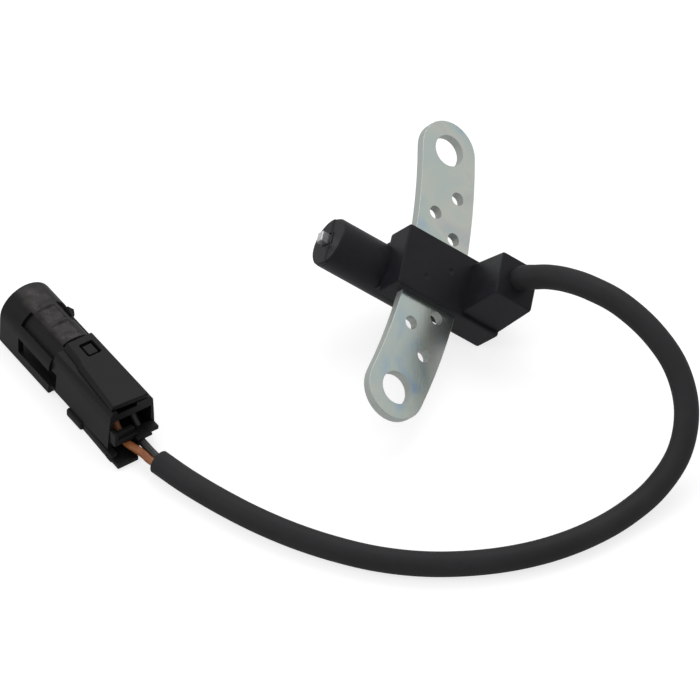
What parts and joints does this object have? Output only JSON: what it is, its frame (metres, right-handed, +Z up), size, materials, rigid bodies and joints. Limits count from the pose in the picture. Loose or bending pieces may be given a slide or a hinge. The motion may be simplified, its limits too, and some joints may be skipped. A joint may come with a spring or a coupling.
{
  "type": "crankshaft position sensor",
  "caption": "Inductive speed sensor moulded onto a bowed steel bracket, with a short stiff cable to a small locking connector.",
  "frame": {"origin": "on the surface the part lies on, under the middle of the head's box (bracket, body and coil, without cable and connector)", "axes": "+Z up; +Y roughly along the bracket's length; +X towards the side that the cable leaves from"},
  "size_m": [0.1595, 0.1167, 0.0311],
  "materials": {
    "zinc_steel": "zinc plated",
    "black_plastic": "fine moulded satin",
    "bare_steel": "sheared and bare",
    "magnet": "sintered",
    "coil_former_plastic": "moulded matt",
    "copper_wire": "enamelled",
    "tinned_brass": "tinned",
    "cable_sheath": "smooth extruded",
    "brown_insulation": "smooth",
    "black_insulation": "smooth",
    "seal_rubber": "moulded matt"
  },
  "bodies": {
    "root": {"bracket_plate": "zinc_steel", "sensor_body": "black_plastic", "pole_piece": "bare_steel", "magnet": "magnet", "coil_bobbin": "coil_former_plastic", "coil_winding": "copper_wire", "coil_lug_1": "tinned_brass", "coil_lug_2": "tinned_brass", "head_core_brown": "brown_insulation", "head_core_black": "black_insulation", "cable_sheath": "cable_sheath", "core_brown": "brown_insulation", "core_black": "black_insulation", "connector_housing": "black_plastic", "connector_cover": "black_plastic", "connector_lock": "black_plastic", "wire_seal_1": "seal_rubber", "wire_seal_2": "seal_rubber", "pin_terminal_1": "tinned_brass", "pin_terminal_2": "tinned_brass"}
  },
  "joints": []
}
